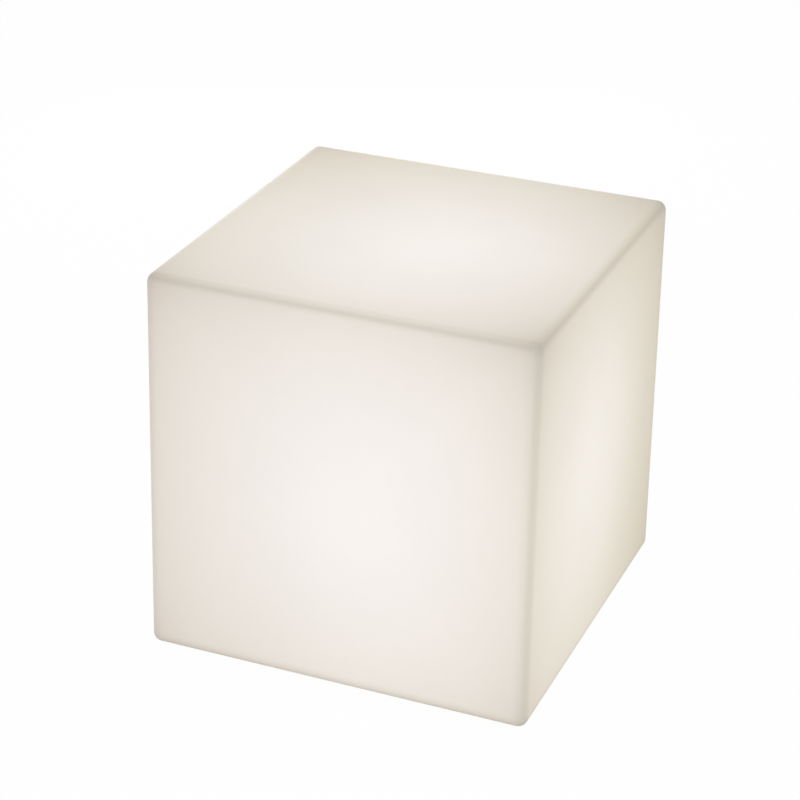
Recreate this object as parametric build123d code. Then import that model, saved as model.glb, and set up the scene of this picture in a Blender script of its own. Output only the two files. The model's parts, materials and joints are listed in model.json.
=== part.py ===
from build123d import *
from collections import namedtuple
import math
import os

# A free-standing cube light: a translucent moulded shell, and a sealed module in its base that
# holds the battery, the controls and a column of lamps in the middle of the cube.
# Millimetres. +Z is up, the front is -Y, and the origin is on the ground under the middle.

# ---------------------------------------------------------------- shell
base_side = 400.0          # outside width at the bottom
draft_angle = 0.4          # degrees, so that the shell leaves its mould
shell_height = 403.0
wall = 3.5
edge_radius = 10.0         # outside, on every edge
recess_depth = 20.0        # how far the base module sits up inside the bottom
recess_lip_radius = 3.0
ledge_width = 15.0         # the seat of the base cover, around the module's way in

# ---------------------------------------------------------------- feet
foot_radius = 12.0
foot_thickness = 3.0
foot_proud = 1.5           # what shows below the shell
foot_inset = 30.0          # from the shell's side to the foot's centre
foot_rim_radius = 0.8
foot_glue_gap = 0.3

# ---------------------------------------------------------------- base cover
cover_thickness = 4.0
cover_rim_radius = 1.5
cover_gap = 2.0            # between the cover's rim and the recess
gasket_thickness = 1.5
gasket_margin = 1.0        # from the gasket's edges to the ledge's and the cover's
cup_wall = 2.5
cup_room = 1.6             # between the cup and what stands nearest to it
module_gap = 2.0           # between the deck plate and the way in

# ---------------------------------------------------------------- screws and inserts
cover_screw_count = 6
cover_screw_first_angle = 30.0
insert_radius = 4.0
insert_length = 11.0
insert_cover = 2.5         # plastic around an insert
insert_spare = 2.5         # thread left free above a screw's tip
fit_gap = 0.03             # between a thread or a pressed piece and its hole
pass_gap = 0.3             # between a screw's shank and a hole that it passes
deck_screw_length = 10.0
head_rim_radius = 0.7
socket_floor = 1.0         # metal left under a head's hexagon socket
boss_wall = 2.0            # plastic around a screw that cuts its own thread
boss_bite = 1.0            # how far a deck screw's boss runs into the cup's wall
pilot_play = 1.0           # hole below a screw's tip

# ---------------------------------------------------------------- battery
cell_radius = 9.3
cell_length = 65.2         # with the raised contact
cell_count = 3
cell_gap = 0.4             # between neighbouring cells
contact_radius = 2.8
contact_height = 0.6
strip_thickness = 0.3
strip_height = 8.0
pack_to_board = 16.2       # room for the clamp's near bosses
cradle_base = 2.0
cradle_length = 56.0
cradle_depth = 5.0         # how deep a cell lies in its trough
cell_play = 0.2            # between a cell and its trough
pad_thickness = 1.0
clamp_length = 30.0
clamp_thickness = 2.0
clamp_screw_spacing = 22.0
clamp_boss_gap = 0.4

# ---------------------------------------------------------------- control board
board_length = 66.0
board_width = 50.0
board_thickness = 1.6
board_back_y = -10.0       # its rear edge
board_corner_radius = 2.0
board_screw_inset = 4.0
part_height = 8.0          # its tallest parts
deck_headroom = 12.0       # from the tallest part to the deck plate
connector_height = 6.0
connector_play = 3.0       # from a connector to the board's edge
battery_terminal_play = 2.0
battery_terminal_length = 8.0
battery_terminal_width = 7.0
battery_terminal_clear = 3.0   # sideways, past the battery clamp
led_connector_length = 12.0
led_connector_width = 8.0
led_connector_setback = 16.0   # from the board's rear edge
jack_connector_length = 10.0
jack_connector_width = 6.0
button_connector_length = 6.0
button_connector_width = 9.0
coil_radius = 4.5
coil_height = 7.0
coil_rim_radius = 1.0

# ---------------------------------------------------------------- panel controls, shared
bezel_thickness = 2.0
bezel_width = 2.0          # how far a bezel stands out past its barrel
bezel_rim_radius = 0.6
seal_thickness = 0.8
seal_margin = 0.5
barrel_length = 18.0       # above the bezel
nut_thickness = 3.0
nut_wall = 1.5             # at the nut's flats
panel_gap = 0.15           # between a barrel and its hole in the cover
terminal_length = 5.0
terminal_width = 2.4
terminal_thickness = 0.8
terminal_spacing = 4.4
wire_room = 3.8            # from the terminals' tips to the board

# ---------------------------------------------------------------- push buttons
button_x = 20.0            # the two buttons stand at each side of the middle
button_y = -34.0
plunger_radius = 3.8
plunger_rim_radius = 0.6
button_travel = 1.5
plunger_rest = 0.5         # what still stands out when it is pressed
plunger_gap = 0.3          # around the plunger and around its collar
collar_step = 0.8          # how far the collar stands out past the plunger
collar_thickness = 2.5
button_barrel_wall = 1.1
shoulder_depth = 3.8       # from the bezel's face to the collar's seat
switch_thickness = 3.2     # the contacts at the closed end of the barrel
spigot_radius = 2.0
spigot_length = 2.0
spring_radius = 3.3        # to the middle of the wire
spring_wire_radius = 0.25
spring_turns = 5
spring_end_gap = 0.1

# ---------------------------------------------------------------- charging socket and its cap
jack_y = -50.0
jack_barrel_wall = 2.7
socket_radius = 2.8
socket_depth = 10.8
pin_radius = 1.05
pin_play = 0.4             # from the cap's plug to the pin's tip
cap_margin = 0.8           # how far the cap covers past the socket's bezel
cap_thickness = 1.6
cap_rim_radius = 0.5
plug_gap = 0.4             # between the cap's plug and the socket
plug_length = 1.6
tab_length = 4.0
tab_width = 6.0
tab_thickness = 0.8
tab_corner_radius = 2.0
strap_length = 3.2
strap_width = 6.0
strap_thickness = 0.8
knuckle_radius = 0.6       # the thick end of the strap, at the fold
knuckle_gap = 0.3
anchor_length = 5.0
anchor_width = 8.0
anchor_corner_radius = 1.2
anchor_stem_radius = 2.0
anchor_barb_radius = 2.8
anchor_barb_height = 2.0

# ---------------------------------------------------------------- charge indicator
pipe_y = -24.0
pipe_radius = 1.5
pipe_head_radius = 2.6
pipe_head_thickness = 0.8
pipe_head_rim_radius = 0.4
pipe_to_lamp = 0.5
indicator_radius = 2.0
indicator_height = 3.0
indicator_rim_radius = 1.2

# ---------------------------------------------------------------- deck plate and lamp column
deck_thickness = 3.0
deck_overhang = 3.0        # past the cup
column_base_thickness = 5.0
mast_side = 24.0
mast_wall = 3.0
mast_top_web = 4.0
mast_screw_room = 8.5      # from the mast's side to the middle of its screws
mast_foot_margin = 5.5     # from there to the foot's edge
mast_cable_radius = 8.0    # the way in for the cable, through the mast's foot
strip_length = 170.0
strip_width = 14.0
strip_board_thickness = 1.2
strip_screw_inset = 8.0
lamp_side = 5.0
lamp_height = 1.6
lamp_window_radius = 1.9
lamp_window_depth = 0.3
lamp_pitch = 20.0
lamp_end_room = 25.0       # from a strip's end to its first lamp
top_lamp_gap = 5.0
top_screw_inset = 2.0      # from the mast's side to the middle of the screw
column_room = 7.0          # between the mast's foot and the diffuser
diffuser_wall = 2.0
diffuser_shoulder_radius = 18.0
diffuser_headroom = 22.0   # above the top lamps
diffuser_flange_width = 6.0
diffuser_flange_thickness = 2.5
ring_gap = 0.4
ring_width = 6.0           # of the ring's screwed part, outside the flange

# ---------------------------------------------------------------- wiring
cable_radius = 2.0
cable_bend_radius = 12.0
grommet_radius = 7.0
grommet_lip = 2.0
grommet_lip_thickness = 1.2
grommet_play = 0.1
battery_lead_radius = 0.8
battery_lead_out = 12.0    # sideways from the cells
battery_lead_climb = 14.0  # forwards, on its way up
battery_lead_run = 16.0    # straight into the terminal
thin_lead_radius = 0.6
jack_lead_out = 6.0        # past the board's front edge
button_lead_out = 9.0      # past the board's sides
bend_share = 0.45          # share of the shorter run that a bend may take up

# ---------------------------------------------------------------- kinds of screw
Screw = namedtuple("Screw", "radius length head_radius head_height socket_width")
cover_screw_length = cover_thickness + gasket_thickness + insert_length - insert_spare
small_screw_length = column_base_thickness + deck_thickness
strip_screw_length = strip_board_thickness + mast_wall
cover_screw = Screw(2.5, cover_screw_length, 4.7, 3.0, 4.0)
deck_screw = Screw(1.5, deck_screw_length, 2.75, 2.2, 2.5)
small_screw = Screw(1.5, small_screw_length, 2.75, 2.2, 2.5)
strip_screw = Screw(1.25, strip_screw_length, 2.3, 1.5, 1.5)

# ---------------------------------------------------------------- heights, from the ground up
shell_bottom = foot_proud
shell_top = shell_bottom + shell_height
ledge_z = shell_bottom + recess_depth
cover_top = ledge_z - gasket_thickness
cover_bottom = cover_top - cover_thickness
bezel_top = cover_bottom - seal_thickness
bezel_bottom = bezel_top - bezel_thickness
barrel_top = bezel_top + barrel_length
board_z = barrel_top + terminal_length + wire_room
board_top = board_z + board_thickness
tab_z = barrel_top + terminal_length / 2
lead_z = board_top + connector_height / 2
deck_z = board_top + part_height + deck_headroom
deck_top = deck_z + deck_thickness
column_base_top = deck_top + column_base_thickness
cell_z = cover_top + cradle_base + cell_play + cell_radius
clamp_z = cell_z + cell_radius + cell_play + pad_thickness
clamp_top = clamp_z + clamp_thickness
light_centre_z = shell_bottom + shell_height / 2
strip_bottom = light_centre_z - strip_length / 2
mast_top = light_centre_z + strip_length / 2
top_board_top = mast_top + strip_board_thickness
diffuser_top = top_board_top + lamp_height + diffuser_headroom + diffuser_wall
collar_seat_z = bezel_bottom + shoulder_depth
spring_bottom = collar_seat_z + collar_thickness
spring_top = barrel_top - switch_thickness
fold_z = bezel_bottom - cap_thickness / 2
indicator_z = board_z - indicator_height

# ---------------------------------------------------------------- panel controls and their places
collar_radius = plunger_radius + collar_step
button_barrel_radius = collar_radius + plunger_gap + button_barrel_wall
jack_barrel_radius = socket_radius + jack_barrel_wall
cap_radius = jack_barrel_radius + bezel_width + cap_margin
pin_recess = plug_length + pin_play
fold_y = jack_y - cap_radius - strap_length
anchor_y = fold_y - knuckle_radius - knuckle_gap - anchor_length / 2
button_places = {"power_button": (-button_x, button_y), "mode_button": (button_x, button_y)}
jack_at = (0, jack_y)
pipe_at = (0, pipe_y)
anchor_at = (0, anchor_y)

# ---------------------------------------------------------------- board and battery places
small_boss_radius = small_screw.radius + boss_wall
board_y = board_back_y - board_width / 2
board_front_y = board_back_y - board_width
cell_pitch = 2 * cell_radius + cell_gap
pack_width = (cell_count - 1) * cell_pitch + 2 * cell_radius
pack_y = board_back_y + pack_to_board + pack_width / 2
cell_ys = [pack_y + (index - (cell_count - 1) / 2) * cell_pitch for index in range(cell_count)]
clamp_screw_width = pack_width + 2 * (small_boss_radius + clamp_boss_gap)
battery_terminal_x = clamp_length / 2 + battery_terminal_clear
battery_terminal_back_y = board_back_y - battery_terminal_play
led_connector_back_y = board_back_y - led_connector_setback
jack_connector_front_y = board_front_y + connector_play
button_connector_outer_x = board_length / 2 - connector_play

# ---------------------------------------------------------------- radii, from the middle out
pack_reach = math.hypot(cell_length / 2 + strip_thickness, pack_y + pack_width / 2)
board_reach = math.hypot(board_length / 2, board_front_y)
anchor_reach = anchor_barb_radius - anchor_y
cup_inner_radius = max(pack_reach, board_reach, anchor_reach) + cup_room
cup_radius = cup_inner_radius + cup_wall
deck_radius = cup_radius + deck_overhang
opening_radius = deck_radius + module_gap
recess_radius = opening_radius + ledge_width
cover_radius = recess_radius - cover_gap
cover_screw_circle = (opening_radius + cover_radius) / 2
deck_boss_radius = deck_screw.radius + boss_wall
deck_screw_circle = cup_inner_radius + boss_bite - deck_boss_radius
mast_screw_circle = mast_side / 2 + mast_screw_room
mast_foot_radius = mast_screw_circle + mast_foot_margin
diffuser_radius = mast_foot_radius + column_room + diffuser_wall
diffuser_flange_radius = diffuser_radius + diffuser_flange_width
ring_seat_radius = diffuser_flange_radius + ring_gap
ring_radius = ring_seat_radius + ring_width


# ---------------------------------------------------------------- shapes used more than once
def disc(radius, bottom, height, at=(0, 0)):
    upright = (Align.CENTER, Align.CENTER, Align.MIN)
    return Pos(at[0], at[1], bottom) * Cylinder(radius, height, align=upright)


def ring(outer_radius, inner_radius, bottom, height, at=(0, 0)):
    return disc(outer_radius, bottom, height, at) - disc(inner_radius, bottom, height, at)


def block(length, width, bottom, height, at=(0, 0)):
    upright = (Align.CENTER, Align.CENTER, Align.MIN)
    return Pos(at[0], at[1], bottom) * Box(length, width, height, align=upright)


def hexagon(flats, bottom, height, at=(0, 0)):
    outline = RegularPolygon(radius=flats / 2, side_count=6, major_radius=False)
    return Pos(at[0], at[1], bottom) * extrude(outline, height)


def group(solids):
    return Compound(children=list(solids))


def circle_places(radius, count, first_angle):
    angles = [math.radians(first_angle + 360 * step / count) for step in range(count)]
    return [(radius * math.cos(angle), radius * math.sin(angle)) for angle in angles]


def rectangle_places(length, width, middle=(0, 0)):
    corners = [(x, y) for x in (-1, 1) for y in (-1, 1)]
    return [(middle[0] + x * length / 2, middle[1] + y * width / 2) for x, y in corners]


def rounded(body, radius, highest):
    """Rounds the outer edges of a body's highest or lowest flat face."""
    faces = body.faces().filter_by(Plane.XY).sort_by(Axis.Z)
    face = faces[-1] if highest else faces[0]
    return fillet(face.outer_wire().edges(), radius)


def upright_edges_rounded(body, radius):
    return fillet(body.edges().filter_by(Axis.Z), radius)


def make_screw(kind, origin, direction):
    """A pan-head screw: its head's seat is at the origin, and its head points along direction."""
    head = rounded(disc(kind.head_radius, 0, kind.head_height), head_rim_radius, highest=True)
    head -= hexagon(kind.socket_width, socket_floor, kind.head_height - socket_floor)
    return Plane(origin=origin, z_dir=direction) * (head + disc(kind.radius, -kind.length, kind.length))


def upright_screws(kind, places, seat_z):
    return [make_screw(kind, (*at, seat_z), (0, 0, 1)) for at in places]


def pilot_hole(kind, seat_z, plate_thickness, at):
    """The hole under a plate for a screw that cuts its own thread."""
    depth = kind.length - plate_thickness + pilot_play
    return disc(kind.radius + fit_gap, seat_z - depth, depth, at)


# ---------------------------------------------------------------- places
foot_places = {
    "foot_front_left": (-1, -1),
    "foot_front_right": (1, -1),
    "foot_back_left": (-1, 1),
    "foot_back_right": (1, 1),
}
foot_offset = base_side / 2 - foot_inset
cover_screw_places = circle_places(cover_screw_circle, cover_screw_count, cover_screw_first_angle)
deck_screw_places = circle_places(deck_screw_circle, 4, 45)
mast_screw_places = circle_places(mast_screw_circle, 4, 0)
ring_screw_places = circle_places(ring_seat_radius + ring_width / 2, 4, 45)
board_screw_places = rectangle_places(
    board_length - 2 * board_screw_inset, board_width - 2 * board_screw_inset, (0, board_y)
)
clamp_screw_places = rectangle_places(clamp_screw_spacing, clamp_screw_width, (0, pack_y))
strip_sides = {
    "led_board_front": (0, -1),
    "led_board_right": (1, 0),
    "led_board_back": (0, 1),
    "led_board_left": (-1, 0),
}
strip_screw_heights = (strip_bottom + strip_screw_inset, mast_top - strip_screw_inset)
top_screw_x = mast_side / 2 - top_screw_inset
top_screw_places = [(-top_screw_x, 0), (top_screw_x, 0)]


# ---------------------------------------------------------------- shell, inserts and feet
def side_at(z):
    """Outside width of the tapered shell at a height."""
    return base_side - 2 * (z - shell_bottom) * math.tan(math.radians(draft_angle))


def tapered_block(bottom, top, inset, radius):
    """A block that follows the shell's taper, with its sides set in from the shell's."""
    bottom_side = side_at(bottom) - 2 * inset
    top_side = side_at(top) - 2 * inset
    bottom_face = Pos(0, 0, bottom) * Rectangle(bottom_side, bottom_side)
    top_face = Pos(0, 0, top) * Rectangle(top_side, top_side)
    body = loft([bottom_face, top_face])
    return fillet(body.edges(), radius)


def make_shell():
    body = tapered_block(shell_bottom, shell_top, 0, edge_radius)
    body -= tapered_block(shell_bottom + wall, shell_top - wall, wall, edge_radius - wall)
    body += disc(recess_radius + wall, shell_bottom, recess_depth + wall)
    for at in cover_screw_places:
        body += disc(insert_radius + insert_cover, ledge_z, insert_length + insert_cover, at)
    body -= disc(recess_radius, shell_bottom, recess_depth)
    mouth = body.edges().filter_by(GeomType.CIRCLE).filter_by(is_recess_edge).sort_by(Axis.Z)[0]
    body = fillet(mouth, recess_lip_radius)
    body -= disc(opening_radius, ledge_z, wall)
    for at in cover_screw_places:
        body -= disc(insert_radius + fit_gap, ledge_z, insert_length, at)
    seat_depth = foot_thickness - foot_proud
    for x, y in foot_places.values():
        seat_at = (x * foot_offset, y * foot_offset)
        body -= disc(foot_radius + foot_glue_gap, shell_bottom, seat_depth, seat_at)
    return body


def is_recess_edge(edge):
    return math.isclose(edge.radius, recess_radius)


def make_insert(at):
    return ring(insert_radius, cover_screw.radius + fit_gap, ledge_z, insert_length, at)


def make_foot(at):
    return rounded(disc(foot_radius, 0, foot_thickness, at), foot_rim_radius, highest=False)


# ---------------------------------------------------------------- base cover and its seal
def make_base_cover():
    body = rounded(disc(cover_radius, cover_bottom, cover_thickness), cover_rim_radius, highest=False)
    body += ring(cup_radius, cup_inner_radius, cover_top, deck_z - cover_top)
    for at in deck_screw_places:
        body += disc(deck_boss_radius, cover_top, deck_z - cover_top, at)
    for at in board_screw_places:
        body += disc(small_boss_radius, cover_top, board_z - cover_top, at)
    for at in clamp_screw_places:
        body += disc(small_boss_radius, cover_top, clamp_z - cover_top, at)
    for at in deck_screw_places:
        body -= pilot_hole(deck_screw, deck_z, deck_thickness, at)
    for at in board_screw_places:
        body -= pilot_hole(small_screw, board_z, board_thickness, at)
    for at in clamp_screw_places:
        body -= pilot_hole(small_screw, clamp_z, clamp_thickness, at)
    for at in cover_screw_places:
        body -= disc(cover_screw.radius + pass_gap, cover_bottom, cover_thickness, at)
    for at in button_places.values():
        body -= disc(button_barrel_radius + panel_gap, cover_bottom, cover_thickness, at)
    body -= disc(jack_barrel_radius + panel_gap, cover_bottom, cover_thickness, jack_at)
    body -= disc(pipe_radius + fit_gap, cover_bottom, cover_thickness, pipe_at)
    body -= disc(anchor_stem_radius + fit_gap, cover_bottom, cover_thickness, anchor_at)
    return body


def make_cover_gasket():
    outer = cover_radius - gasket_margin
    inner = opening_radius + gasket_margin
    body = ring(outer, inner, cover_top, gasket_thickness)
    for at in cover_screw_places:
        body -= disc(cover_screw.radius + pass_gap, cover_top, gasket_thickness, at)
    return body


def make_cover_screws():
    seats = [(*at, cover_bottom) for at in cover_screw_places]
    return group(make_screw(cover_screw, seat, (0, 0, -1)) for seat in seats)


# ---------------------------------------------------------------- battery pack
def make_cell(y):
    can_length = cell_length - contact_height
    can = Cylinder(cell_radius, can_length)
    contact = Pos(0, 0, cell_length / 2) * Cylinder(contact_radius, contact_height)
    return Pos(-contact_height / 2, y, cell_z) * Rot(0, 90, 0) * (can + contact)


def make_battery_cradle():
    body = block(cradle_length, pack_width, cover_top, cradle_base + cradle_depth, (0, pack_y))
    trough = Rot(0, 90, 0) * Cylinder(cell_radius + cell_play, cradle_length)
    for y in cell_ys:
        body -= Pos(0, y, cell_z) * trough
    return body


def make_battery_pad():
    width = pack_width - cell_radius
    return block(clamp_length, width, clamp_z - pad_thickness, pad_thickness, (0, pack_y))


def make_battery_clamp():
    width = clamp_screw_width + 2 * small_boss_radius
    body = block(clamp_length, width, clamp_z, clamp_thickness, (0, pack_y))
    body = upright_edges_rounded(body, small_boss_radius)
    for at in clamp_screw_places:
        body -= disc(small_screw.radius + pass_gap, clamp_z, clamp_thickness, at)
    return body


def make_cell_strips():
    width = pack_width - 2 * cell_radius + strip_height
    x = (cell_length + strip_thickness) / 2
    bottom = cell_z - strip_height / 2
    ends = [(-x, pack_y), (x, pack_y)]
    return group(block(strip_thickness, width, bottom, strip_height, end) for end in ends)


# ---------------------------------------------------------------- control board
# Flat parts: length, width and height, then the middle's place from the board's middle
Chip = namedtuple("Chip", "length width height x y")
chips = [
    Chip(7.0, 7.0, 1.0, -14.0, 9.0),
    Chip(10.0, 6.0, 1.8, 13.5, 9.0),
    Chip(5.0, 4.0, 1.5, -13.0, 0.0),
    Chip(5.0, 4.0, 1.5, 13.0, 0.0),
]
coil_places = [(-19.0, -12.0), (-9.0, -8.0), (9.0, -8.0), (19.0, -12.0)]


def make_control_board():
    body = block(board_length, board_width, board_z, board_thickness, (0, board_y))
    body = upright_edges_rounded(body, board_corner_radius)
    for at in board_screw_places:
        body -= disc(small_screw.radius + pass_gap, board_z, board_thickness, at)
    return body


def make_board_chips():
    return group(
        block(chip.length, chip.width, board_top, chip.height, (chip.x, board_y + chip.y))
        for chip in chips
    )


def make_board_coils():
    coils = [disc(coil_radius, board_top, coil_height, (x, board_y + y)) for x, y in coil_places]
    return group(rounded(coil, coil_rim_radius, highest=True) for coil in coils)


def connector(length, width, x, y):
    return block(length, width, board_top, connector_height, (x, y))


def make_board_connectors():
    battery_y = battery_terminal_back_y - battery_terminal_width / 2
    led_y = led_connector_back_y - led_connector_width / 2
    jack_connector_y = jack_connector_front_y + jack_connector_width / 2
    button_connector_x = button_connector_outer_x - button_connector_length / 2
    connectors = [
        connector(led_connector_length, led_connector_width, 0, led_y),
        connector(jack_connector_length, jack_connector_width, 0, jack_connector_y),
    ]
    for side in (-1, 1):
        battery_x = side * battery_terminal_x
        button_side_x = side * button_connector_x
        connectors.append(
            connector(battery_terminal_length, battery_terminal_width, battery_x, battery_y)
        )
        connectors.append(
            connector(button_connector_length, button_connector_width, button_side_x, button_y)
        )
    return group(connectors)


# ---------------------------------------------------------------- push buttons
def with_terminals(body, at, along_x):
    """Adds two flat tabs to a panel control's closed end, side by side along X or along Y."""
    for side in (-1, 1):
        offset = side * terminal_spacing / 2
        if along_x:
            place = (at[0] + offset, at[1])
            body += block(terminal_width, terminal_thickness, barrel_top, terminal_length, place)
        else:
            place = (at[0], at[1] + offset)
            body += block(terminal_thickness, terminal_width, barrel_top, terminal_length, place)
    return body


def panel_barrel(barrel_radius, at):
    """The bezel and the barrel that every control on the cover has."""
    bezel = disc(barrel_radius + bezel_width, bezel_bottom, bezel_thickness, at)
    return rounded(bezel, bezel_rim_radius, highest=False) + disc(barrel_radius, bezel_top, barrel_length, at)


def make_button_body(at):
    body = panel_barrel(button_barrel_radius, at)
    body -= disc(plunger_radius + plunger_gap, bezel_bottom, shoulder_depth, at)
    body -= disc(collar_radius + plunger_gap, collar_seat_z, spring_top - collar_seat_z, at)
    return with_terminals(body, at, along_x=False)


def make_plunger(at):
    bottom = bezel_bottom - button_travel - plunger_rest
    stem = disc(plunger_radius, bottom, collar_seat_z - bottom, at)
    collar = disc(collar_radius, collar_seat_z, collar_thickness, at)
    spigot = disc(spigot_radius, spring_bottom, spigot_length, at)
    return rounded(stem, plunger_rim_radius, highest=False) + collar + spigot


def biarc(start, start_tangent, end, end_tangent):
    """Two arcs that leave start and reach end along the given tangents."""
    chord = end - start
    along = start_tangent + end_tangent
    spread = 2 * (1 - start_tangent.dot(end_tangent))
    reach = chord.dot(along)
    arm = (math.sqrt(reach * reach + spread * chord.dot(chord)) - reach) / spread
    first_corner = start + start_tangent * arm
    second_corner = end - end_tangent * arm
    middle = (first_corner + second_corner) * 0.5
    first = Edge.make_tangent_arc(start, start_tangent, middle)
    second = Edge.make_tangent_arc(middle, second_corner - first_corner, end)
    return [first, second]


def make_button_spring(at):
    """An open coil of round wire, wound a quarter turn at a time."""
    bottom = spring_bottom + spring_end_gap + spring_wire_radius
    top = spring_top - spring_end_gap - spring_wire_radius
    pitch = (top - bottom) / spring_turns

    def point(quarter):
        angle = quarter * math.pi / 2
        around = Vector(math.cos(angle), math.sin(angle), 0) * spring_radius
        return Vector(*at, bottom + pitch * quarter / 4) + around

    def tangent(quarter):
        angle = quarter * math.pi / 2
        around = Vector(-math.sin(angle), math.cos(angle), 0) * spring_radius
        return (around + Vector(0, 0, pitch / math.tau)).normalized()

    edges = []
    for quarter in range(4 * spring_turns):
        following = quarter + 1
        edges += biarc(point(quarter), tangent(quarter), point(following), tangent(following))
    section = Plane(origin=point(0), z_dir=tangent(0)) * Circle(spring_wire_radius)
    print(f"spring: gap between turns {pitch - 2 * spring_wire_radius:.2f}")
    return sweep(section, path=Wire(edges))


def make_panel_nut(barrel_radius, at):
    body = hexagon(2 * (barrel_radius + nut_wall), cover_top, nut_thickness, at)
    return body - disc(barrel_radius + fit_gap, cover_top, nut_thickness, at)


def make_panel_seal(barrel_radius, at):
    outer = barrel_radius + bezel_width - seal_margin
    return ring(outer, barrel_radius + panel_gap, bezel_top, seal_thickness, at)


# ---------------------------------------------------------------- charging socket and its cap
def make_charge_jack():
    body = panel_barrel(jack_barrel_radius, jack_at)
    body -= disc(socket_radius, bezel_bottom, socket_depth, jack_at)
    body += disc(pin_radius, bezel_bottom + pin_recess, socket_depth - pin_recess, jack_at)
    return with_terminals(body, jack_at, along_x=True)


def make_jack_cap():
    cap_bottom = bezel_bottom - cap_thickness
    body = rounded(disc(cap_radius, cap_bottom, cap_thickness, jack_at), cap_rim_radius, highest=False)
    body += disc(socket_radius - plug_gap, bezel_bottom, plug_length, jack_at)
    strap_at = (0, (fold_y + jack_y) / 2)
    strap_bottom = fold_z - strap_thickness / 2
    body += block(strap_width, jack_y - fold_y, strap_bottom, strap_thickness, strap_at)
    body += Pos(0, fold_y, fold_z) * Rot(0, 90, 0) * Cylinder(knuckle_radius, strap_width)
    tab_reach = cap_radius + tab_length
    tab = block(tab_width, tab_reach, cap_bottom, tab_thickness, (0, jack_y + tab_reach / 2))
    return body + fillet(tab.edges().filter_by(Axis.Z).group_by(Axis.Y)[-1], tab_corner_radius)


def make_jack_cap_anchor():
    body = block(anchor_width, anchor_length, fold_z, cover_bottom - fold_z, anchor_at)
    body = upright_edges_rounded(body, anchor_corner_radius)
    body += disc(anchor_stem_radius, cover_bottom, cover_thickness, anchor_at)
    return body + disc(anchor_barb_radius, cover_top, anchor_barb_height, anchor_at)


# ---------------------------------------------------------------- charge indicator
def make_light_pipe():
    head = disc(pipe_head_radius, cover_bottom - pipe_head_thickness, pipe_head_thickness, pipe_at)
    stem = disc(pipe_radius, cover_bottom, indicator_z - pipe_to_lamp - cover_bottom, pipe_at)
    return rounded(head, pipe_head_rim_radius, highest=False) + stem


def make_charge_led():
    body = disc(indicator_radius, indicator_z, indicator_height, pipe_at)
    return rounded(body, indicator_rim_radius, highest=False)


# ---------------------------------------------------------------- deck plate and mast
def make_deck_plate():
    body = ring(deck_radius, grommet_radius, deck_z, deck_thickness)
    for at in deck_screw_places:
        body -= disc(deck_screw.radius + pass_gap, deck_z, deck_thickness, at)
    for at in mast_screw_places + ring_screw_places:
        body -= disc(small_screw.radius + fit_gap, deck_z, deck_thickness, at)
    return body


def make_cable_grommet():
    lip_bottom = deck_z - grommet_lip_thickness
    body = disc(grommet_radius - fit_gap, deck_z, deck_thickness)
    body += disc(grommet_radius + grommet_lip, lip_bottom, grommet_lip_thickness)
    return body - disc(cable_radius + grommet_play, lip_bottom, deck_top - lip_bottom)


def make_led_mast():
    bore_side = mast_side - 2 * mast_wall
    web_bottom = mast_top - mast_top_web
    body = disc(mast_foot_radius, deck_top, column_base_thickness)
    body += block(mast_side, mast_side, deck_top, mast_top - deck_top)
    body -= block(bore_side, bore_side, column_base_top, web_bottom - column_base_top)
    body -= disc(mast_cable_radius, deck_top, column_base_thickness)
    body -= disc(cable_radius + grommet_play, web_bottom, mast_top_web)
    for at in mast_screw_places:
        body -= disc(small_screw.radius + pass_gap, deck_top, column_base_thickness, at)
    for at in top_screw_places:
        body -= disc(strip_screw.radius + fit_gap, web_bottom, mast_top_web, at)
    for side in strip_sides.values():
        for z in strip_screw_heights:
            hole = disc(strip_screw.radius + fit_gap, -mast_wall, mast_wall, (0, z - light_centre_z))
            body -= strip_face(side) * hole
    return body


# ---------------------------------------------------------------- lamps
def strip_face(side):
    """The plane of a mast side's middle, which faces outwards with its own Y axis up."""
    x, y = side
    middle = (x * mast_side / 2, y * mast_side / 2, light_centre_z)
    return Plane(origin=middle, x_dir=(-y, x, 0), z_dir=(x, y, 0))


def make_led_board(side):
    body = block(strip_width, strip_length, 0, strip_board_thickness)
    for z in strip_screw_heights:
        at = (0, z - light_centre_z)
        body -= disc(strip_screw.radius + pass_gap, 0, strip_board_thickness, at)
    return strip_face(side) * body


def make_top_led_board():
    side = mast_side + 2 * strip_board_thickness
    body = block(side, side, mast_top, strip_board_thickness)
    for at in top_screw_places:
        body -= disc(strip_screw.radius + pass_gap, mast_top, strip_board_thickness, at)
    return body


def lamp_on(plane, place):
    """A lamp package on a board that lies on the plane, with a shallow round window."""
    body = block(lamp_side, lamp_side, strip_board_thickness, lamp_height, place)
    window_bottom = strip_board_thickness + lamp_height - lamp_window_depth
    return plane * (body - disc(lamp_window_radius, window_bottom, lamp_window_depth, place))


def make_led_packages():
    count = int((strip_length - 2 * lamp_end_room) / lamp_pitch) + 1
    lamps = []
    for side in strip_sides.values():
        for index in range(count):
            place = (0, (index - (count - 1) / 2) * lamp_pitch)
            lamps.append(lamp_on(strip_face(side), place))
    top_spacing = lamp_side + top_lamp_gap
    for place in rectangle_places(top_spacing, top_spacing):
        lamps.append(lamp_on(Plane(origin=(0, 0, mast_top)), place))
    return group(lamps)


def make_led_board_screws():
    reach = mast_side / 2 + strip_board_thickness
    screws = upright_screws(strip_screw, top_screw_places, top_board_top)
    for x, y in strip_sides.values():
        for z in strip_screw_heights:
            screws.append(make_screw(strip_screw, (x * reach, y * reach, z), (x, y, 0)))
    return group(screws)


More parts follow.
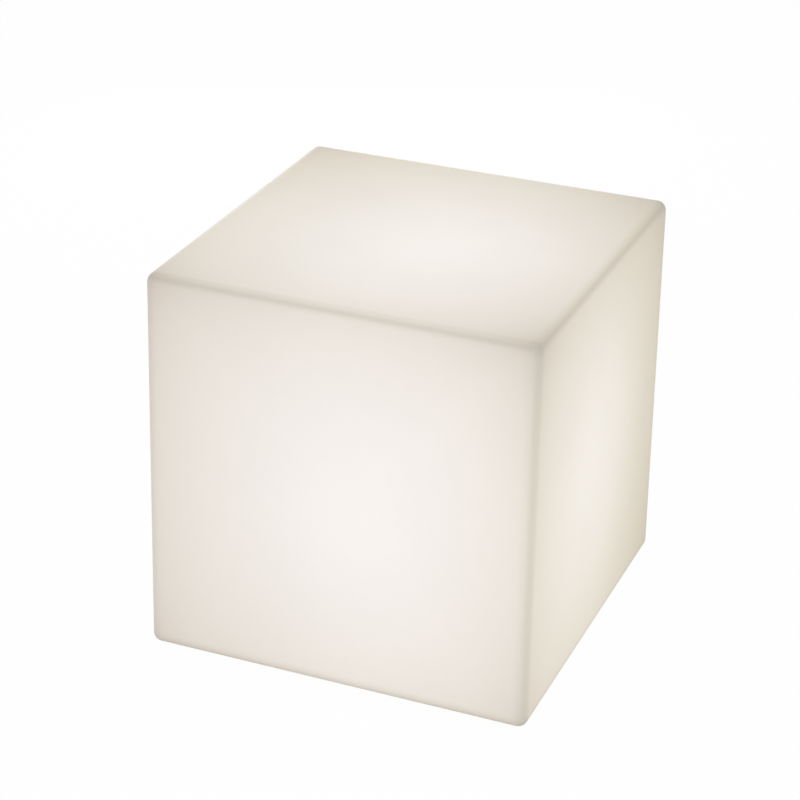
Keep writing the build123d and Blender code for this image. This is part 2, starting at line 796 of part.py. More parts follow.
# ---------------------------------------------------------------- diffuser
def make_column_diffuser():
    body = rounded(
        disc(diffuser_radius, deck_top, diffuser_top - deck_top), diffuser_shoulder_radius, highest=True
    )
    body += disc(diffuser_flange_radius, deck_top, diffuser_flange_thickness)
    room = disc(diffuser_radius - diffuser_wall, deck_top, diffuser_top - diffuser_wall - deck_top)
    return body - rounded(room, diffuser_shoulder_radius - diffuser_wall, highest=True)


def make_diffuser_ring():
    body = ring(ring_radius, diffuser_radius + ring_gap, deck_top, column_base_thickness)
    body -= disc(ring_seat_radius, deck_top, diffuser_flange_thickness)
    for at in ring_screw_places:
        body -= disc(small_screw.radius + pass_gap, deck_top, column_base_thickness, at)
    return body


# ---------------------------------------------------------------- wiring
def tube_along(name, path, radius, bends):
    section = Plane(origin=path @ 0, z_dir=path % 0) * Circle(radius)
    tube = sweep(section, path=path)
    listed = ", ".join(f"{bend:.1f}" for bend in bends)
    whole = tube.volume / (math.pi * radius**2 * path.length)
    print(f"{name}: length {path.length:.1f}, bends {listed}, volume share {whole:.4f}")
    return tube


def lead(name, points, radius):
    """A wire along a route of straight runs, with each bend as wide as its runs allow."""
    route = [Vector(*point) for point in points]
    bends = []
    for before, corner, after in zip(route, route[1:], route[2:]):
        shorter = min((corner - before).length, (after - corner).length)
        half_turn = math.radians((corner - before).get_angle(after - corner)) / 2
        bends.append(bend_share * shorter / math.tan(half_turn))
    return tube_along(name, FilletPolyline(*route, radius=bends), radius, bends)


def make_battery_lead(name, side):
    strip_x = side * (cell_length / 2 + strip_thickness)
    outer_x = strip_x + side * battery_lead_out
    terminal_x = side * battery_terminal_x
    cell_y = cell_ys[0]
    points = [
        (strip_x, cell_y, cell_z),
        (outer_x, cell_y, cell_z),
        (outer_x, cell_y - battery_lead_climb, lead_z),
        (terminal_x, battery_terminal_back_y + battery_lead_run, lead_z),
        (terminal_x, battery_terminal_back_y, lead_z),
    ]
    return lead(name, points, battery_lead_radius)


def make_jack_leads():
    bend_y = board_front_y - jack_lead_out
    leads = []
    for side in (-1, 1):
        x = side * terminal_spacing / 2
        points = [
            (x, jack_y - terminal_thickness / 2, tab_z),
            (x, bend_y, tab_z),
            (x, bend_y, lead_z),
            (x, jack_connector_front_y, lead_z),
        ]
        leads.append(lead("jack lead", points, thin_lead_radius))
    return group(leads)


def make_button_leads():
    leads = []
    for side in (-1, 1):
        bend_x = side * (board_length / 2 + button_lead_out)
        for row in (-1, 1):
            y = button_y + row * terminal_spacing / 2
            points = [
                (side * (button_x + terminal_thickness / 2), y, tab_z),
                (bend_x, y, tab_z),
                (bend_x, y, lead_z),
                (side * button_connector_outer_x, y, lead_z),
            ]
            leads.append(lead("button lead", points, thin_lead_radius))
    return group(leads)


def make_led_cable():
    route = [(0, led_connector_back_y, lead_z), (0, 0, lead_z), (0, 0, mast_top)]
    path = FilletPolyline(*route, radius=cable_bend_radius)
    return tube_along("led cable", path, cable_radius, [cable_bend_radius])


# ---------------------------------------------------------------- all pieces
def make_shell_pieces():
    pieces = {"shell": make_shell()}
    pieces["threaded_inserts"] = group(make_insert(at) for at in cover_screw_places)
    for name, (x, y) in foot_places.items():
        pieces[name] = make_foot((x * foot_offset, y * foot_offset))
    pieces["base_cover"] = make_base_cover()
    pieces["cover_gasket"] = make_cover_gasket()
    pieces["cover_screws"] = make_cover_screws()
    return pieces


def make_battery_and_board():
    pieces = {f"battery_cell_{index}": make_cell(y) for index, y in enumerate(cell_ys, start=1)}
    pieces["battery_cradle"] = make_battery_cradle()
    pieces["battery_pad"] = make_battery_pad()
    pieces["battery_clamp"] = make_battery_clamp()
    pieces["cell_strips"] = make_cell_strips()
    pieces["control_board"] = make_control_board()
    pieces["board_chips"] = make_board_chips()
    pieces["board_coils"] = make_board_coils()
    pieces["board_connectors"] = make_board_connectors()
    board_screws = upright_screws(small_screw, board_screw_places, board_top)
    clamp_screws = upright_screws(small_screw, clamp_screw_places, clamp_top)
    pieces["inner_screws"] = group(board_screws + clamp_screws)
    return pieces


def make_controls():
    pieces = {}
    for name, at in button_places.items():
        pieces[f"{name}_body"] = make_button_body(at)
        pieces[f"{name}_plunger"] = make_plunger(at)
        pieces[f"{name}_spring"] = make_button_spring(at)
        pieces[f"{name}_nut"] = make_panel_nut(button_barrel_radius, at)
        pieces[f"{name}_seal"] = make_panel_seal(button_barrel_radius, at)
    pieces["charge_jack"] = make_charge_jack()
    pieces["charge_jack_nut"] = make_panel_nut(jack_barrel_radius, jack_at)
    pieces["charge_jack_seal"] = make_panel_seal(jack_barrel_radius, jack_at)
    pieces["jack_cap"] = make_jack_cap()
    pieces["jack_cap_anchor"] = make_jack_cap_anchor()
    pieces["charge_light_pipe"] = make_light_pipe()
    pieces["charge_led"] = make_charge_led()
    return pieces


def make_lamp_column():
    pieces = {"deck_plate": make_deck_plate()}
    pieces["deck_screws"] = group(upright_screws(deck_screw, deck_screw_places, deck_top))
    pieces["cable_grommet"] = make_cable_grommet()
    pieces["led_mast"] = make_led_mast()
    column_places = mast_screw_places + ring_screw_places
    pieces["column_screws"] = group(upright_screws(small_screw, column_places, column_base_top))
    for name, side in strip_sides.items():
        pieces[name] = make_led_board(side)
    pieces["top_led_board"] = make_top_led_board()
    pieces["led_packages"] = make_led_packages()
    pieces["led_board_screws"] = make_led_board_screws()
    pieces["column_diffuser"] = make_column_diffuser()
    pieces["diffuser_ring"] = make_diffuser_ring()
    return pieces


def make_wiring():
    return {
        "battery_lead_red": make_battery_lead("battery lead, red", 1),
        "battery_lead_black": make_battery_lead("battery lead, black", -1),
        "jack_leads": make_jack_leads(),
        "button_leads": make_button_leads(),
        "led_cable": make_led_cable(),
    }


os.makedirs("parts", exist_ok=True)
for make_some in (make_shell_pieces, make_battery_and_board, make_controls, make_lamp_column, make_wiring):
    for piece_name, piece in make_some().items():
        export_step(piece, f"parts/{piece_name}.step")
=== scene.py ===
import json
import math

import bmesh
import bpy
from mathutils import Matrix, Vector


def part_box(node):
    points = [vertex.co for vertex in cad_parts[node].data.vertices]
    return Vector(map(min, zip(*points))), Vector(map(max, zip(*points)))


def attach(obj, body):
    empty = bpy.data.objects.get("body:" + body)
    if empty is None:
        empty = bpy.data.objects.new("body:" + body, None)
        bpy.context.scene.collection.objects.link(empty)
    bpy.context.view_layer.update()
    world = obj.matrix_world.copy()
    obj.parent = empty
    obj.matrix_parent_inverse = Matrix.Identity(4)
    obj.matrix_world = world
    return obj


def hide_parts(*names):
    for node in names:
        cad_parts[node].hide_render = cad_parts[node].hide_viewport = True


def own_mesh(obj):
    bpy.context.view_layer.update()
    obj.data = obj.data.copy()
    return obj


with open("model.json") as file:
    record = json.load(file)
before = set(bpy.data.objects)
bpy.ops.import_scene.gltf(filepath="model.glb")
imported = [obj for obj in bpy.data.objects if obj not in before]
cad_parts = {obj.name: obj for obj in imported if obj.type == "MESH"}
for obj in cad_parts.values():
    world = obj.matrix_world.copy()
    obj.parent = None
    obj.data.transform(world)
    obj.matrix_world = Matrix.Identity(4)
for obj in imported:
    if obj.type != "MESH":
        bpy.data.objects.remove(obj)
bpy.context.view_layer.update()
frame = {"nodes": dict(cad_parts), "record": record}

# A lit, free-standing cube light. Metres, +Z up, front at -Y, the ground at z = 0.
# Colours are linear red, green and blue.

# ---------------------------------------------------------------- the shell's planes
HALF_SIDE = 0.200                    # at the shell's lower face
DRAFT = math.tan(math.radians(0.4))  # how far a side leans in, per metre of height
shell_low, shell_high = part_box("shell")
SHELL_BOTTOM = shell_low.z
SHELL_TOP = shell_high.z
LIGHT_CENTRE = (SHELL_BOTTOM + SHELL_TOP) / 2

# ---------------------------------------------------------------- the camera, from the photograph
PICTURE_SIDE = 800                   # pixels
FOCAL_LENGTH = 2415.07               # in those pixels
SENSOR_WIDTH = 36.0                  # millimetres
CAMERA_PLACE = Vector((0.79982, -2.03998, 1.29735))
CAMERA_AZIMUTH = 0.379719            # these three are in radians
CAMERA_ELEVATION = 0.455300
CAMERA_ROLL = 0.0205589
NEAREST_SEEN = 0.05
FARTHEST_SEEN = 50.0

# ---------------------------------------------------------------- noise
NOISE_RANGE = (0.3, 0.7)             # nearly all of a noise texture lies between these
MEAN_NOISE_RANGE = (0.35, 0.65)      # and nearly all of the mean of two between these


class Graph:
    """Adds shader nodes to a material or world and links them."""

    def __init__(self, owner):
        owner.use_nodes = True
        self.tree = owner.node_tree
        self.tree.nodes.clear()

    def node(self, kind, inputs=None, **settings):
        made = self.tree.nodes.new("ShaderNode" + kind)
        for key, value in settings.items():
            setattr(made, key, value)
        for key, value in (inputs or {}).items():
            self.feed(made.inputs[key], value)
        return made

    def feed(self, socket, value):
        """Links a socket to another node's, or sets its value."""
        if isinstance(value, bpy.types.NodeSocket):
            self.tree.links.new(value, socket)
        else:
            socket.default_value = value

    def math(self, operation, *values):
        return self.node("Math", dict(enumerate(values)), operation=operation).outputs[0]

    def fold(self, operation, first, *others):
        """Takes an operation of two values along a row of them."""
        for other in others:
            first = self.math(operation, first, other)
        return first

    def plus(self, first, second):
        return self.math("ADD", first, second)

    def minus(self, first, second):
        return self.math("SUBTRACT", first, second)

    def times(self, first, second):
        return self.math("MULTIPLY", first, second)

    def ramp(self, value, low, high, to_low=0.0, to_high=1.0):
        """Maps low..high to to_low..to_high, smoothly, and stays level beyond them."""
        inputs = dict(enumerate((value, low, high, to_low, to_high)))
        return self.node("MapRange", inputs, interpolation_type="SMOOTHSTEP").outputs[0]

    def fade(self, distance, start, end):
        """1 up to a distance of start, and from there smoothly down to 0 at end."""
        return self.ramp(distance, start, end, 1.0, 0.0)

    def vary(self, noise, low=0.0, high=1.0):
        """A value between low and high that follows a noise texture."""
        return self.ramp(noise, *NOISE_RANGE, low, high)

    def mix(self, factor, first, second):
        """Mixes two colours. Inputs 6 and 7 and output 2 are the node's sockets for colours."""
        return self.node("Mix", {0: factor, 6: first, 7: second}, data_type="RGBA").outputs[2]

    def tint(self, share, colour, start):
        """start plus a share of a colour, as a vector."""
        shares = self.node("CombineXYZ", {0: share, 1: share, 2: share}).outputs[0]
        return self.node("VectorMath", {0: colour, 1: shares, 2: start}, operation="MULTIPLY_ADD").outputs[0]

    def dim(self, light, share, loss):
        """Light less a share of a loss, by colour."""
        kept = self.tint(share, [-value for value in loss], (1, 1, 1))
        return self.node("VectorMath", {0: light, 1: kept}, operation="MULTIPLY").outputs[0]

    def coordinates(self, stretch=(1, 1, 1)):
        place = self.node("TexCoord").outputs["Object"]
        if stretch == (1, 1, 1):
            return place
        return self.node("Mapping", {"Vector": place, "Scale": stretch}).outputs[0]

    def noise(self, scale, detail=3.0, stretch=(1, 1, 1)):
        inputs = {"Vector": self.coordinates(stretch), "Scale": scale, "Detail": detail}
        return self.node("TexNoise", inputs).outputs[0]

    def bump(self, height, strength, distance, normal=None):
        """A normal that follows a height. normal is the one of an earlier bump, if there is one."""
        inputs = {"Height": height, "Strength": strength, "Distance": distance}
        if normal is not None:
            inputs["Normal"] = normal
        return self.node("Bump", inputs).outputs[0]

    def surface(self, **inputs):
        """A Principled surface, linked to the output. Underscores in names stand for spaces."""
        named = {key.replace("_", " "): value for key, value in inputs.items()}
        self.output(self.node("BsdfPrincipled", named))

    def output(self, shader, kind="OutputMaterial"):
        """Links a shader to the output."""
        self.tree.links.new(shader.outputs[0], self.node(kind).inputs[0])


def rgb(*values):
    return (*values, 1.0)


def shade(colour, factor):
    return rgb(*(min(1.0, value * factor) for value in colour))


# ---------------------------------------------------------------- the lit shell
SHELL_COLOUR = (0.50, 0.49, 0.475)
SHELL_ROUGHNESS = (0.44, 0.52)
SHELL_SPECULAR = 0.45
PEEL_SCALE = 420.0                   # a fine orange peel
PEEL_STRENGTH = 0.12
PEEL_DEPTH = 0.0006
WAVE_SCALE = 28.0                    # slow waves in the wall
WAVE_STRENGTH = 0.10
WAVE_DEPTH = 0.0030
CLOUD_SCALE = 9.0                    # patches in which a little more or less light comes through
CLOUD_SHARE = 0.015

# Light that leaves the shell. All depends on the place on the shell, and on nothing else. Part of it is
# painted light and shade on the sides and edges, beside the glow from inside.
GLOW_EVEN = (0.175, 0.122, 0.030)      # scattered round the inside
GLOW_COLUMN = (0.239, 0.253, 0.308)    # straight from the lamp column
GLOW_MIDDLE = (0.026, -0.007)          # x and y of the place that the column's light falls off from
GLOW_FALL = 1.5                        # the power of the distance with which it does
GLOW_STRETCH = 0.8                     # the column is long, so the light falls off more slowly upwards
PAINTED_SHADE_TO_BACK = (-0.191, -0.216, -0.285)   # painted shade: less light per metre towards the back, where the lamps light it less
PAINTED_LIGHT_FAR = (0.100, 0.108, 0.125)       # painted light on the left and back sides, which keeps them as bright as the other two
FAR_BACK = (0.0005, 0.0055)            # where that painted light starts and ends to fade, from the back plane
FAR_LEFT = (0.0002, 0.0018)            # and from the left plane
PAINTED_SHADE_RIGHT = (-0.012, -0.010, -0.046)  # painted shade: the right side is a little darker and warmer than the front, as the lamps light it less
PAINTED_LIGHT_TOP = (0.032, 0.037, 0.026)       # painted light: the top is a little brighter, as if lit more from above
SIDE_FADE = (0.0, 0.012)               # where this painted shade and painted light start and end to fade, from their planes

# Shares of that light that are lost, by colour. Near edges and corners this is partly painted shade; the
# lines and the lower rim are painted shade.
EDGE_LOSS_AND_SHADE = (0.111, 0.153, 0.221)      # near an edge: partly less glow, partly painted shade on the rounding
EDGE_REACH = 0.0318
CORNER_LOSS_AND_SHADE = (0.515, 0.632, 0.862)    # near a corner: partly less glow, partly painted shade
CORNER_REACH = 0.0434
LOWER_EASE = 0.026                     # near the lower edges it is as if they were this much further off
PAINTED_SHADE_LINE = (0.296, 0.327, 0.424)      # painted shade: a thin darker line along the middle of an upright edge
LINE_WIDTH = 0.0086
LEVEL_PAINTED_SHADE_LINE = (0.315, 0.365, 0.460)  # the same painted shade line on the upper and lower edges
LEVEL_LINE_WIDTH = 0.0048
LEVEL_LINE_SHIFT = -0.0018             # there it is nearer to the sides
LINE_FADE = (0.010, 0.025)             # where the painted shade lines start and end to fade, from both planes together
PAINTED_SHADE_RIM = (0.434, 0.532, 0.707)       # painted shade at the lower rim, which faces down
RIM_REACH = 0.0099
RIM_FADE = (0.007, 0.016)              # where that starts and ends to fade, from the edge
CAP_LOSS = (0.230, 0.248, 0.295)       # in the middle of the top and of the underside
CAP_DEPTH = 0.010                      # how fast that falls off from their planes
CAP_REACH = 0.184                      # and how fast it grows from their edges


def shell_distances(graph):
    """A point's place on the shell, its height, the half side there, and how far the planes are."""
    x, y, z = graph.node("SeparateXYZ", {"Vector": graph.coordinates()}).outputs[:3]
    height = graph.minus(z, SHELL_BOTTOM)
    half = graph.minus(HALF_SIDE, graph.times(height, DRAFT))
    from_x = graph.minus(half, graph.math("ABSOLUTE", x))
    from_y = graph.minus(half, graph.math("ABSOLUTE", y))
    from_z = graph.math("MINIMUM", height, graph.minus(SHELL_TOP, z))
    return (x, y, z), height, half, (from_x, from_y, from_z)


def middle_and_largest(graph, *distances):
    """The middle one of three distances, which is how far the nearest edge is, and the largest."""
    smallest = graph.fold("MINIMUM", *distances)
    largest = graph.fold("MAXIMUM", *distances)
    total = graph.fold("ADD", *distances)
    return graph.minus(graph.minus(total, smallest), largest), largest


def fall_off(graph, distance, reach):
    return graph.math("EXPONENT", graph.math("DIVIDE", distance, -reach))


def painted_shade_line(graph, first, second, width, shift=0.0):
    """Where a line of painted shade goes: 1 on the middle of the rounded edge between two planes, 0 away
    from it.
    """
    offset = graph.minus(graph.minus(first, second), shift)
    ratio = graph.math("DIVIDE", offset, width)
    line = graph.math("EXPONENT", graph.times(graph.times(ratio, ratio), -1.0))
    return graph.times(line, graph.fade(graph.plus(first, second), *LINE_FADE))


def column_share(graph, x, y, z):
    """How much of the column's light reaches a point: 1 at the middle of a side."""
    offsets = (
        graph.minus(x, GLOW_MIDDLE[0]),
        graph.minus(y, GLOW_MIDDLE[1]),
        graph.times(graph.minus(z, LIGHT_CENTRE), GLOW_STRETCH),
    )
    away = graph.node("CombineXYZ", dict(enumerate(offsets))).outputs[0]
    length = graph.node("VectorMath", {0: away}, operation="LENGTH").outputs["Value"]
    return graph.math("POWER", graph.math("DIVIDE", HALF_SIDE, length), GLOW_FALL)


def painted_light_far_share(graph, x, y, half):
    """Where the painted light of the far sides goes: 1 on the left and back sides, 0 on the other sides and
    on the edges between.
    """
    back = graph.fade(graph.minus(half, y), *FAR_BACK)
    left = graph.fade(graph.plus(half, x), *FAR_LEFT)
    return graph.math("MAXIMUM", back, left)


def shell_light(graph):
    """The colour of the light that leaves a point of the shell: the glow from inside, with painted light and
    shade added on some sides and along the edges.
    """
    (x, y, z), height, half, (from_x, from_y, from_z) = shell_distances(graph)
    from_top = graph.minus(SHELL_TOP, z)
    light = GLOW_EVEN
    for share, colour in (
        (column_share(graph, x, y, z), GLOW_COLUMN),
        # painted shade towards the back
        (y, PAINTED_SHADE_TO_BACK),
        # painted light on the left and back sides
        (painted_light_far_share(graph, x, y, half), PAINTED_LIGHT_FAR),
        # painted shade on the right side
        (graph.fade(graph.minus(half, x), *SIDE_FADE), PAINTED_SHADE_RIGHT),
        # painted light on the top
        (graph.fade(from_top, *SIDE_FADE), PAINTED_LIGHT_TOP),
    ):
        light = graph.tint(share, colour, light)

    from_edge, _ = middle_and_largest(graph, from_x, from_y, from_z)
    eased = graph.math("MINIMUM", graph.plus(height, LOWER_EASE), from_top)
    middle, largest = middle_and_largest(graph, from_x, from_y, eased)
    level_painted_shade_lines = (
        painted_shade_line(graph, side, from_z, LEVEL_LINE_WIDTH, LEVEL_LINE_SHIFT) for side in (from_x, from_y)
    )
    # painted shade along the lower rim, which faces down and gets little lamp light
    painted_shade_rim = graph.times(fall_off(graph, height, RIM_REACH), graph.fade(from_edge, *RIM_FADE))
    inside = graph.minus(1.0, fall_off(graph, middle, CAP_REACH))
    for share, loss in (
        # partly painted shade near the edges and corners
        (fall_off(graph, middle, EDGE_REACH), EDGE_LOSS_AND_SHADE),
        (fall_off(graph, graph.plus(middle, largest), CORNER_REACH), CORNER_LOSS_AND_SHADE),
        # painted shade lines along the edges
        (painted_shade_line(graph, from_x, from_y, LINE_WIDTH), PAINTED_SHADE_LINE),
        (graph.math("MAXIMUM", *level_painted_shade_lines), LEVEL_PAINTED_SHADE_LINE),
        (painted_shade_rim, PAINTED_SHADE_RIM),
        (graph.times(fall_off(graph, from_z, CAP_DEPTH), inside), CAP_LOSS),
    ):
        light = graph.dim(light, share, loss)

    cloud = graph.vary(graph.noise(CLOUD_SCALE, detail=2.0), 1 - CLOUD_SHARE, 1 + CLOUD_SHARE)
    return graph.node("VectorMath", {0: light, "Scale": cloud}, operation="SCALE").outputs[0]


def lit_shell(graph):
    """Rotomoulded plastic with light coming through it, in which painted light and shade are mixed."""
    peel = graph.noise(PEEL_SCALE, detail=2.0)
    wave = graph.noise(WAVE_SCALE, detail=1.0)
    peeled = graph.bump(peel, PEEL_STRENGTH, PEEL_DEPTH)
    graph.surface(
        Base_Color=rgb(*SHELL_COLOUR),
        Roughness=graph.vary(peel, *SHELL_ROUGHNESS),
        Specular_IOR_Level=SHELL_SPECULAR,
        Emission_Color=shell_light(graph),
        Emission_Strength=1.0,
        Normal=graph.bump(wave, WAVE_STRENGTH, WAVE_DEPTH, peeled),
    )


# ---------------------------------------------------------------- everyday materials
# Each of these gives a function that fills a graph. Scales are noise textures' own, which grow as
# the texture gets finer.
MOULDED_PATCHES = 35.0
MOULDED_BUMP = 0.5
MOULDED_SPREAD = 0.05                # of the colour, as a share, and of the roughness
METAL_PATCHES = 60.0
METAL_BUMP = 0.4
METAL_DARKER = 0.93
METAL_LIGHTER = 1.04
METAL_SPREAD = 0.07                  # of the roughness
LAMP_PATCHES = 120.0
LAMP_DARKER = 0.92


def moulded(colour, roughness, grain=900.0, depth=0.00008, **more):
    """Moulded plastic or rubber: a fine spark-eroded grain and slightly uneven colour and gloss."""

    def fill(graph):
        fine = graph.noise(grain, detail=2.0)
        mean = graph.times(graph.plus(fine, graph.noise(MOULDED_PATCHES)), 0.5)
        darker, lighter = (shade(colour, 1 + spread) for spread in (-MOULDED_SPREAD, MOULDED_SPREAD))
        graph.surface(
            Base_Color=graph.mix(graph.ramp(mean, *MEAN_NOISE_RANGE), darker, lighter),
            Roughness=graph.vary(fine, roughness - MOULDED_SPREAD, roughness + MOULDED_SPREAD),
            Normal=graph.bump(fine, MOULDED_BUMP, depth),
            **more,
        )

    return fill


def metal(colour, roughness, stretch=(1, 1, 1), grain=600.0, depth=0.00003):
    """Metal with a fine grain, which is finer still along one axis where stretch asks for it."""

    def fill(graph):
        fine = graph.noise(grain, stretch=stretch)
        patches = graph.vary(graph.noise(METAL_PATCHES))
        graph.surface(
            Base_Color=graph.mix(patches, shade(colour, METAL_DARKER), shade(colour, METAL_LIGHTER)),
            Metallic=1.0,
            Roughness=graph.vary(fine, roughness - METAL_SPREAD, roughness + METAL_SPREAD),
            Normal=graph.bump(fine, METAL_BUMP, depth),
        )

    return fill


def glowing(colour, light, strength, roughness):
    """A lit surface whose light is slightly uneven."""

    def fill(graph):
        patches = graph.vary(graph.noise(LAMP_PATCHES))
        graph.surface(
            Base_Color=rgb(*colour),
            Roughness=roughness,
            Emission_Color=graph.mix(patches, shade(light, LAMP_DARKER), rgb(*light)),
            Emission_Strength=strength,
        )

    return fill


TRACK_SCALE = 90.0
TRACK_SHARE = 0.035                  # of the pattern's cells
TRACK_COLOUR = (0.080, 0.330, 0.150)
TRACK_BUMP = 0.4
TRACK_DEPTH = 0.00005
MASK_PATCHES = 300.0
MASK_DARKER = (0.030, 0.190, 0.085)
MASK_LIGHTER = (0.040, 0.230, 0.105)
MASK_ROUGHNESS = (0.25, 0.35)


def circuit_board(graph):
    """Solder mask over copper tracks, which show as slightly raised, lighter lines."""
    inputs = {"Vector": graph.coordinates(), "Scale": TRACK_SCALE, "Mortar Size": TRACK_SHARE}
    tracks = graph.node("TexBrick", inputs).outputs["Fac"]
    patches = graph.vary(graph.noise(MASK_PATCHES))
    mask = graph.mix(patches, rgb(*MASK_DARKER), rgb(*MASK_LIGHTER))
    graph.surface(
        Base_Color=graph.mix(tracks, mask, rgb(*TRACK_COLOUR)),
        Roughness=graph.ramp(patches, 0.0, 1.0, *MASK_ROUGHNESS),
        Normal=graph.bump(tracks, TRACK_BUMP, TRACK_DEPTH),
    )


RECIPES = {
    "shell_plastic": lit_shell,
    "foot_rubber": moulded((0.045, 0.045, 0.045), 0.75, depth=0.0003),
    "cover_plastic": moulded((0.66, 0.65, 0.62), 0.55, grain=1400.0, depth=0.0003),
    "inner_plastic": moulded((0.58, 0.58, 0.56), 0.45),
    "connector_plastic": moulded((0.72, 0.68, 0.55), 0.40),
    "clear_plastic": moulded((0.88, 0.92, 0.90), 0.18, depth=0.00001, Transmission_Weight=0.55, IOR=1.49),
    "indicator_lens": moulded((0.06, 0.48, 0.08), 0.15, depth=0.00001, Transmission_Weight=0.4),
    "frosted_plastic": glowing((0.80, 0.79, 0.76), (1.0, 0.90, 0.74), strength=0.6, roughness=0.55),
    "silicone": moulded((0.60, 0.60, 0.58), 0.50),
    "rubber_black": moulded((0.030, 0.030, 0.030), 0.65),
    "cap_rubber": moulded((0.040, 0.040, 0.040), 0.62, grain=1200.0),
    "foam": moulded((0.035, 0.035, 0.038), 0.92, grain=1600.0, depth=0.0003),
    "control_black": moulded((0.028, 0.028, 0.028), 0.38),
    "button_red": moulded((0.46, 0.035, 0.028), 0.35),
    "button_grey": moulded((0.30, 0.31, 0.32), 0.38),
    "cell_sleeve": moulded((0.045, 0.180, 0.360), 0.35, grain=250.0, depth=0.00005),
    "circuit_board": circuit_board,
    "lamp_board": moulded((0.80, 0.80, 0.77), 0.30),
    "lamp_phosphor": glowing((0.90, 0.74, 0.30), (1.0, 0.86, 0.62), strength=3.0, roughness=0.35),
    "chip_black": moulded((0.022, 0.022, 0.022), 0.60, grain=2500.0),
    "coil_grey": moulded((0.075, 0.075, 0.080), 0.70, grain=2000.0),
    "wire_red": moulded((0.48, 0.025, 0.02), 0.42),
    "wire_black": moulded((0.025, 0.025, 0.025), 0.45),
    "wire_white": moulded((0.72, 0.72, 0.69), 0.42),
    "cable_grey": moulded((0.17, 0.17, 0.18), 0.50),
    "brass": metal((0.72, 0.52, 0.22), 0.30, stretch=(1, 1, 12)),
    "stainless_steel": metal((0.62, 0.61, 0.59), 0.28),
    "zinc_steel": metal((0.55, 0.58, 0.61), 0.34),
    "spring_steel": metal((0.50, 0.50, 0.50), 0.30),
    "nickel_nut": metal((0.64, 0.61, 0.54), 0.30),
    "nickel_strip": metal((0.66, 0.63, 0.58), 0.36, stretch=(1, 12, 1)),
    "deck_aluminium": metal((0.75, 0.76, 0.77), 0.34, stretch=(12, 1, 1)),
    "mast_aluminium": metal((0.62, 0.63, 0.64), 0.48, grain=900.0, depth=0.0001),
}


def dress():
    """Gives each CAD node the material of its slot."""
    made = {}
    for part in frame["record"]["subparts"]:
        slot = part["material_slot"]
        if slot not in made:
            made[slot] = bpy.data.materials.new(slot)
            RECIPES[slot](Graph(made[slot]))
        mesh = frame["nodes"][part["node"]].data
        mesh.materials.clear()
        mesh.materials.append(made[slot])


def make_springs():
    """Each button's spring, as a copy of its part that rides with the base; the part itself is hidden."""
    for button, joint in (("power_button", "power_press"), ("mode_button", "mode_press")):
        node = f"{button}_spring"
        coil = bpy.data.objects.new(f"{button}_coil", frame["nodes"][node].data.copy())
        bpy.context.scene.collection.objects.link(coil)
        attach(coil, "base")
        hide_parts(node)
        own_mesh(coil)


# ---------------------------------------------------------------- floor, light and camera
FLOOR_REACH = 9.0
FLOOR_HOLE = 0.184                   # half a side of the hole that lets light reach the underside
FLOOR_COLOUR = (0.92, 0.92, 0.92)
FLOOR_WHITENESS = 0.97               # as the camera sees it. The rest is the floor as it is lit
WHITE = (1, 1, 1)
WORLD_LIGHT = 0.66

# name, distance in metres, azimuth and elevation in degrees, power in watts, side in metres
LAMPS = (
    ("key", 1.4, 20.0, 8.0, 3.3, 0.7),
    ("upper", 1.8, 60.0, 50.0, 0.85, 0.8),
    ("rear", 1.6, 205.0, 10.0, 3.3, 0.8),
    ("left", 1.6, 278.0, 6.0, 2.0, 0.8),
)


def seen(graph):
    """1 for what the camera sees, straight, in a gloss or through something clear."""
    path = graph.node("LightPath").outputs
    rays = ("Is Camera Ray", "Is Glossy Ray", "Is Transmission Ray")
    return graph.fold("MAXIMUM", *(path[ray] for ray in rays))


def fill_floor(graph):
    """Pale and whitened from above, clear from below."""
    pale = graph.node("BsdfDiffuse", {"Color": rgb(*FLOOR_COLOUR)})
    white = graph.node("Emission", {"Color": rgb(*WHITE), "Strength": 1.0})
    through = graph.node("BsdfTransparent")
    whiten = graph.times(seen(graph), FLOOR_WHITENESS)
    top = graph.node("MixShader", {0: whiten, 1: pale.outputs[0], 2: white.outputs[0]})
    below = graph.node("NewGeometry").outputs["Backfacing"]
    graph.output(graph.node("MixShader", {0: below, 1: top.outputs[0], 2: through.outputs[0]}))


def make_floor():
    """A square floor with a square hole under the object."""
    mesh = bpy.data.meshes.new("floor")
    shape = bmesh.new()
    corners = ((-1, -1), (1, -1), (1, 1), (-1, 1))
    inner = [shape.verts.new((x * FLOOR_HOLE, y * FLOOR_HOLE, 0)) for x, y in corners]
    outer = [shape.verts.new((x * FLOOR_REACH, y * FLOOR_REACH, 0)) for x, y in corners]
    for step in range(len(corners)):
        following = (step + 1) % len(corners)
        shape.faces.new((inner[step], outer[step], outer[following], inner[following]))
    shape.to_mesh(mesh)
    shape.free()
    material = bpy.data.materials.new("pale_floor")
    fill_floor(Graph(material))
    mesh.materials.append(material)
    floor = bpy.data.objects.new("floor", mesh)
    bpy.context.scene.collection.objects.link(floor)


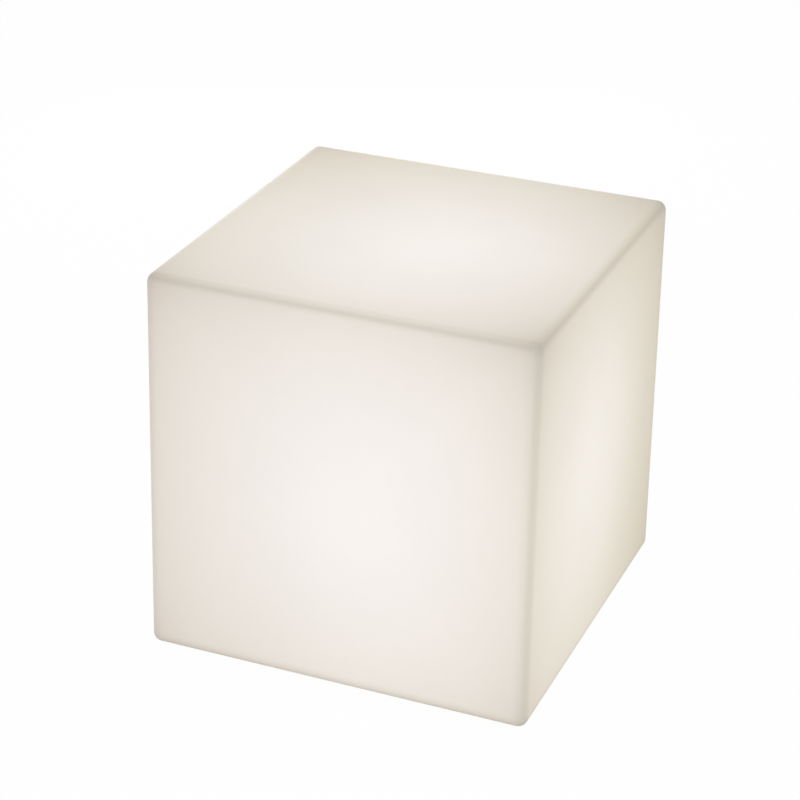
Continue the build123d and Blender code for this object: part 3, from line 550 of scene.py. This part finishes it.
def make_world():
    """Plain light from all round, behind which the camera sees white."""
    world = bpy.data.worlds.new("studio")
    bpy.context.scene.world = world
    graph = Graph(world)
    strength = graph.ramp(seen(graph), 0.0, 1.0, WORLD_LIGHT, 1.0)
    graph.output(graph.node("Background", {"Color": rgb(*WHITE), "Strength": strength}), "OutputWorld")


def away_from_object(azimuth, elevation):
    """The direction from the object, with azimuth 0 at the front and 90 degrees at the right."""
    level = math.cos(elevation)
    return Vector((math.sin(azimuth) * level, -math.cos(azimuth) * level, math.sin(elevation)))


def make_lamps():
    """Square lamps that face the middle of the object."""
    target = Vector((0, 0, LIGHT_CENTRE))
    for name, distance, azimuth, elevation, power, side in LAMPS:
        place = target + away_from_object(math.radians(azimuth), math.radians(elevation)) * distance
        data = bpy.data.lights.new(name, "AREA")
        data.shape = "SQUARE"
        data.size = side
        data.energy = power
        lamp = bpy.data.objects.new(name, data)
        lamp.location = place
        lamp.rotation_euler = (target - place).to_track_quat("-Z", "Y").to_euler()
        bpy.context.scene.collection.objects.link(lamp)


def make_camera():
    """The photograph's camera, which looks against its own +Z axis."""
    back = away_from_object(CAMERA_AZIMUTH, CAMERA_ELEVATION)
    right = Vector((math.cos(CAMERA_AZIMUTH), math.sin(CAMERA_AZIMUTH), 0))
    up = back.cross(right)
    rolled_right = right * math.cos(CAMERA_ROLL) + up * math.sin(CAMERA_ROLL)
    rolled_up = up * math.cos(CAMERA_ROLL) - right * math.sin(CAMERA_ROLL)
    data = bpy.data.cameras.new("camera")
    data.sensor_width = SENSOR_WIDTH
    data.lens = SENSOR_WIDTH * FOCAL_LENGTH / PICTURE_SIDE
    data.clip_start = NEAREST_SEEN
    data.clip_end = FARTHEST_SEEN
    camera = bpy.data.objects.new("camera", data)
    turn = Matrix((rolled_right, rolled_up, back)).transposed().to_4x4()
    camera.matrix_world = Matrix.Translation(CAMERA_PLACE) @ turn
    bpy.context.scene.collection.objects.link(camera)
    bpy.context.scene.camera = camera


dress()
make_springs()
make_floor()
make_world()
make_lamps()
make_camera()
bpy.context.scene.view_settings.view_transform = "Standard"
